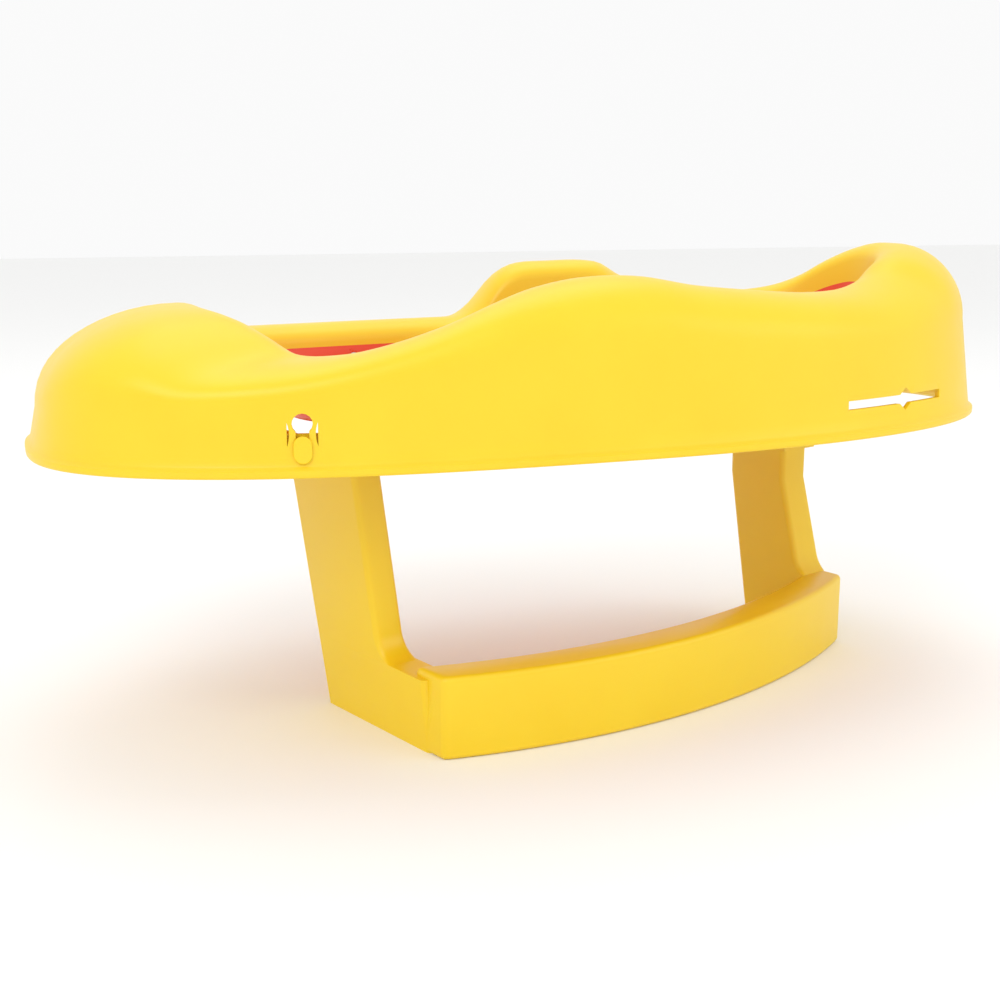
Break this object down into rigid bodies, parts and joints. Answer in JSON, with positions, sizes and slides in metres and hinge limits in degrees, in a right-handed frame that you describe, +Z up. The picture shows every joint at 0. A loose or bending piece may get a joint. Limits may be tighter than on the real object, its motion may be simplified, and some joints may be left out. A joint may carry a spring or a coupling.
{
  "type": "infant seat on a support frame",
  "caption": "Moulded infant seat: a yellow shell with a rolled, wavy rim and a red inner bucket, standing on a U-shaped support frame that snaps into its skirt.",
  "frame": {"origin": "on the floor, under the middle of the seat shell", "axes": "+X from the foot end to the head end, +Z up, the bar of the support frame on the -Y side"},
  "size_m": [0.648, 0.296, 0.2931],
  "materials": {
    "yellow_plastic": "satin moulded",
    "red_plastic": "semi-gloss moulded",
    "steel": "brushed",
    "webbing": "woven",
    "black_plastic": "fine grain",
    "button_plastic": "polished"
  },
  "bodies": {
    "seat": {"seat_shell": "yellow_plastic", "seat_bucket": "red_plastic", "bucket_rivet_1": "steel", "bucket_rivet_2": "steel", "bucket_rivet_3": "steel", "bucket_rivet_4": "steel", "bucket_rivet_5": "steel", "bucket_rivet_6": "steel", "bucket_rivet_7": "steel", "bucket_rivet_8": "steel", "shoulder_strap_near": "webbing", "shoulder_strap_far": "webbing", "crotch_strap": "webbing", "buckle_housing": "black_plastic", "buckle_spring": "steel", "buckle_tongue_near": "steel", "buckle_tongue_far": "steel", "strap_anchor_near": "steel", "strap_anchor_far": "steel", "strap_anchor_crotch": "steel", "head_socket": "yellow_plastic", "head_socket_screw_1": "steel", "head_socket_screw_2": "steel"},
    "frame": {"support_frame": "yellow_plastic", "latch_bar": "yellow_plastic", "latch_stud_near": "yellow_plastic", "latch_stud_far": "yellow_plastic", "latch_bar_screw_1": "steel", "latch_bar_screw_2": "steel"},
    "button": {"buckle_button": "button_plastic"}
  },
  "joints": [
    {"name": "frame_slide", "type": "slide", "parent": "seat", "child": "frame", "axis": [0, 0, 1], "range_m": [0, 0.014]},
    {"name": "button_press", "type": "slide", "parent": "seat", "child": "button", "axis": [0, 0, -1], "range_m": [0, 0.003], "stiffness_N_per_m": 900, "springref_m": -0.001}
  ]
}
